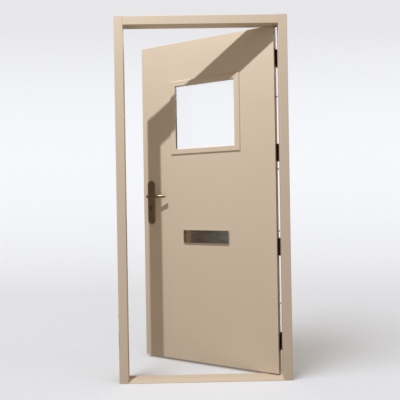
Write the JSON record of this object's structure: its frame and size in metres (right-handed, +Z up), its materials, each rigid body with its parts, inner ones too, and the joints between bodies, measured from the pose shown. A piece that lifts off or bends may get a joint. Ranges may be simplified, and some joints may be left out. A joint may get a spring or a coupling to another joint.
{
  "type": "glazed steel door with its frame",
  "caption": "Glazed steel door leaf with a letter plate and lever handles, hung ajar on butt hinges in its own folded steel frame, with a threshold, lock and keep.",
  "frame": {"origin": "on the underside of the frame's threshold, at the middle of the frame's width and depth", "axes": "+Z up, +X towards the hinge jamb, -Y towards the push side"},
  "size_m": [0.992, 0.5156, 2.1],
  "materials": {
    "beige_paint": "satin powder coat",
    "zinc_steel": "zinc plated",
    "satin_steel": "satin",
    "hinge_steel": "darkened satin",
    "polished_dark_steel": "polished",
    "handle_bronze": "darkened, polished",
    "cylinder_nickel": "satin nickel",
    "black_seal": "matt",
    "clear_glass": "clear",
    "spacer_bar": "matt",
    "core_board": "matt",
    "sleeve_plastic": "matt"
  },
  "bodies": {
    "frame": {"hinge_jamb": "beige_paint", "lock_jamb": "beige_paint", "frame_head": "beige_paint", "threshold": "beige_paint", "corner_brackets": "zinc_steel", "corner_screws": "zinc_steel", "frame_seal": "black_seal", "hinge_backers": "zinc_steel", "keep_plate": "satin_steel", "keep_box": "zinc_steel", "keep_screws": "satin_steel", "frame_hinge_1": "hinge_steel", "frame_hinge_2": "hinge_steel", "frame_hinge_3": "hinge_steel", "frame_hinge_4": "hinge_steel", "hinge_pins": "satin_steel", "frame_hinge_screws": "satin_steel"},
    "leaf": {"push_skin": "beige_paint", "pull_skin": "beige_paint", "leaf_core": "core_board", "leaf_channels": "zinc_steel", "lock_stile": "zinc_steel", "hinge_stile": "zinc_steel", "push_bead": "beige_paint", "pull_bead": "beige_paint", "push_gasket": "black_seal", "pull_gasket": "black_seal", "outer_pane": "clear_glass", "inner_pane": "clear_glass", "pane_spacer": "spacer_bar", "bead_screws": "zinc_steel", "door_hinge_1": "hinge_steel", "door_hinge_2": "hinge_steel", "door_hinge_3": "hinge_steel", "door_hinge_4": "hinge_steel", "door_hinge_screws": "satin_steel", "dog_bolts": "zinc_steel", "letter_push_frame": "polished_dark_steel", "letter_pull_frame": "polished_dark_steel", "letter_sleeve": "sleeve_plastic", "letter_bolts": "satin_steel", "lock_case": "satin_steel", "lock_forend": "satin_steel", "forend_screws": "zinc_steel", "lock_cylinder": "cylinder_nickel", "push_handle_plate": "handle_bronze", "pull_handle_plate": "handle_bronze", "handle_bolts": "satin_steel"},
    "push_flap": {"push_flap": "polished_dark_steel"},
    "pull_flap": {"pull_flap": "polished_dark_steel"},
    "latch": {"latch_bolt": "zinc_steel"},
    "deadbolt": {"deadbolt": "zinc_steel"},
    "handle": {"push_lever": "handle_bronze", "pull_lever": "handle_bronze", "spindle": "zinc_steel", "follower": "zinc_steel"},
    "cylinder": {"cylinder_cam": "zinc_steel", "push_plug": "cylinder_nickel", "thumb_turn": "cylinder_nickel"}
  },
  "joints": [
    {"name": "door_swing", "type": "hinge", "parent": "frame", "child": "leaf", "pos_m": [0.4535, 0.059, 1.03725], "axis": [0, 0, -1], "range_deg": [-25.6, 94.4]},
    {"name": "handle_turn", "type": "hinge", "parent": "leaf", "child": "handle", "pos_m": [-0.32499, 0.39096, 1.0705], "axis": [0.4321, 0.9018, 0], "range_deg": [0, 40], "stiffness_Nm_per_rad": 2, "springref_deg": -28.65},
    {"name": "latch_slide", "type": "slide", "parent": "leaf", "child": "latch", "axis": [0.9018, -0.4321, 0], "range_m": [0, 0.012]},
    {"name": "key_turn", "type": "hinge", "parent": "leaf", "child": "cylinder", "pos_m": [-0.32499, 0.39096, 0.9985], "axis": [0.4321, 0.9018, 0], "range_deg": [0, 360]},
    {"name": "deadbolt_slide", "type": "slide", "parent": "leaf", "child": "deadbolt", "axis": [-0.9018, 0.4321, 0], "range_m": [0, 0.02]},
    {"name": "push_flap_swing", "type": "hinge", "parent": "leaf", "child": "push_flap", "pos_m": [0.01492, 0.19318, 0.8372], "axis": [-0.9018, 0.4321, 0], "range_deg": [0, 80], "stiffness_Nm_per_rad": 0.12, "springref_deg": -28.65},
    {"name": "pull_flap_swing", "type": "hinge", "parent": "leaf", "child": "pull_flap", "pos_m": [0.04214, 0.24999, 0.8372], "axis": [0.9018, -0.4321, 0], "range_deg": [0, 80], "stiffness_Nm_per_rad": 0.12, "springref_deg": -28.65}
  ],
  "couplings": [
    {"joint": "latch_slide", "follows": "handle_turn", "m_per_rad": 0.01718},
    {"joint": "deadbolt_slide", "follows": "key_turn", "m_per_rad": 0.003183}
  ]
}
